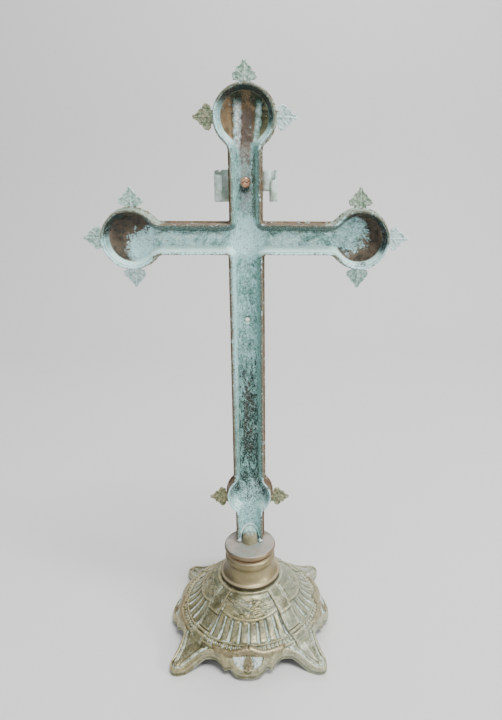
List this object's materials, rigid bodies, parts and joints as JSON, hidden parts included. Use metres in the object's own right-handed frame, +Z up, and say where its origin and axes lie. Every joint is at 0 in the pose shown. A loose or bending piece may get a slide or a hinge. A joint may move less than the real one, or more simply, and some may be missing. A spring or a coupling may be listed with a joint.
{
  "type": "altar cross",
  "caption": "Free-standing brass altar cross: hollow-backed cast cross with leaf-tipped medallions and a blank scroll plate, on turned collars and a dome base with feet.",
  "frame": {"origin": "centre of the base on the surface that the feet rest on", "axes": "+Z up along the tie rod; the display face of the cross looks to -Y and its open hollow back to +Y; +X runs along the horizontal arms"},
  "size_m": [0.2726, 0.1584, 0.52],
  "materials": {
    "cross_brass": "hollow back covered in pale green and white verdigris, outer faces worn brown brass",
    "scroll_brass": "thin plate with pale patina",
    "rivet_copper": "hammered, bright copper tone",
    "collar_brass": "turned, satin, brown tone",
    "neck_brass": "turned, satin, brown tone",
    "base_brass": "cast, olive tone with white-green patina in the hollows",
    "rod_brass": "drawn rod, golden brown end",
    "fastener_steel": "dull grey"
  },
  "bodies": {
    "root": {"cross_casting": "cross_brass", "titulus_scroll": "scroll_brass", "titulus_rivet": "rivet_copper", "collar_ring": "collar_brass", "neck_bell": "neck_brass", "base_casting": "base_brass", "tie_rod": "rod_brass", "base_washer": "fastener_steel", "base_nut": "fastener_steel"}
  },
  "joints": []
}
